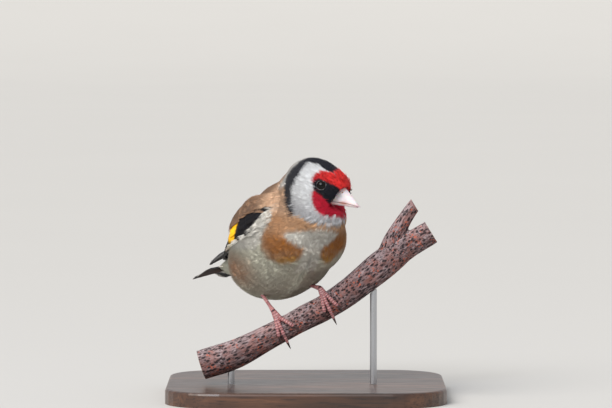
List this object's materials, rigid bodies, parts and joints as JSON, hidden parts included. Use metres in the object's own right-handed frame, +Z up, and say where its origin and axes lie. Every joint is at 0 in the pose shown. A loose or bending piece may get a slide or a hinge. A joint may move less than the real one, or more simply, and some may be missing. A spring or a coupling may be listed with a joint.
{
  "type": "european goldfinch display model",
  "caption": "Life-size perched European goldfinch, head turned, on a cut length of branch held by a flat base and rods.",
  "frame": {"origin": "centre of the stand's underside, which is also the centre of the part's plan", "axes": "+Z up; +X along the perch, towards its rising end and to the right in the reference view; the viewer stands on the -Y side"},
  "size_m": [0.112, 0.098, 0.0971],
  "materials": {
    "plumage": "soft body feathers: red face, black and white head, buff and white breast, brown back",
    "flight_feathers": "smooth black wing and tail feathers with a yellow wing bar and pale tips",
    "bill": "pale pinkish horn with a darker tip",
    "eye": "glossy dark brown, nearly black",
    "leg_skin": "pinkish brown scaly skin",
    "claw": "dark brown horn",
    "bark": "grey and reddish brown bark with dark specks, pale sawn ends",
    "stand_wood": "dark stained wood, satin",
    "stand_steel": "brushed steel rod"
  },
  "bodies": {
    "root": {"head": "plumage", "neck": "plumage", "torso": "plumage", "rump": "plumage", "wing_left": "flight_feathers", "wing_right": "flight_feathers", "tail": "flight_feathers", "bill_upper": "bill", "bill_lower": "bill", "eye_left": "eye", "eye_right": "eye", "leg_left": "leg_skin", "leg_right": "leg_skin", "claw_left_outer": "claw", "claw_left_middle": "claw", "claw_left_inner": "claw", "claw_left_hind": "claw", "claw_right_outer": "claw", "claw_right_middle": "claw", "claw_right_inner": "claw", "claw_right_hind": "claw", "perch": "bark", "stand_base": "stand_wood", "stand_rod_1": "stand_steel", "stand_rod_2": "stand_steel"}
  },
  "joints": []
}
